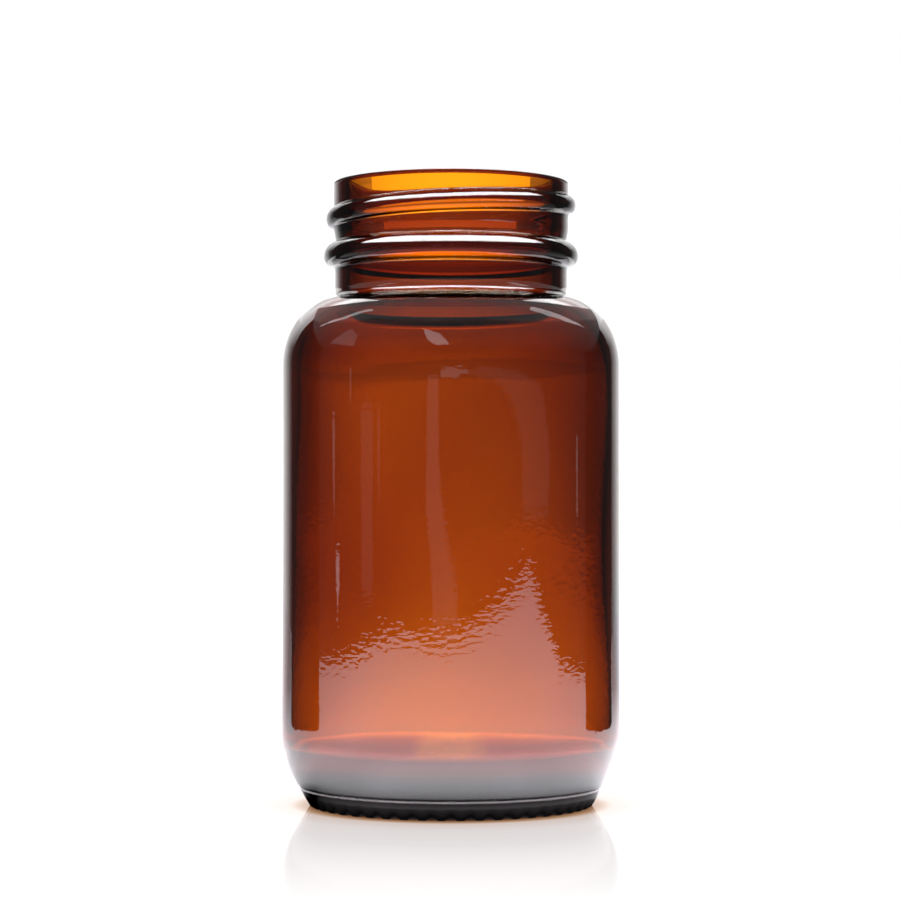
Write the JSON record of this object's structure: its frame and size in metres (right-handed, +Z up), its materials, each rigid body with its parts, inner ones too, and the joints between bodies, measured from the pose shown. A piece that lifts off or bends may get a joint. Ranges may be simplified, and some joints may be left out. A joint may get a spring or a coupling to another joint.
{
  "type": "threaded glass jar",
  "caption": "Round wide-mouth amber glass jar with a continuous-thread neck, transfer bead, domed shoulder, thick base and knurled bearing ring; open, without its closure.",
  "frame": {"origin": "centre of the circle that the jar stands on", "axes": "+Z up along the jar's axis from base to mouth; the screw thread starts 50 degrees anticlockwise from +X, seen from above, and -Y is the front"},
  "size_m": [0.0506, 0.0506, 0.093],
  "materials": {
    "amber_glass": "gloss, moulded, amber soda-lime glass"
  },
  "bodies": {
    "root": {"glass_jar": "amber_glass"}
  },
  "joints": []
}
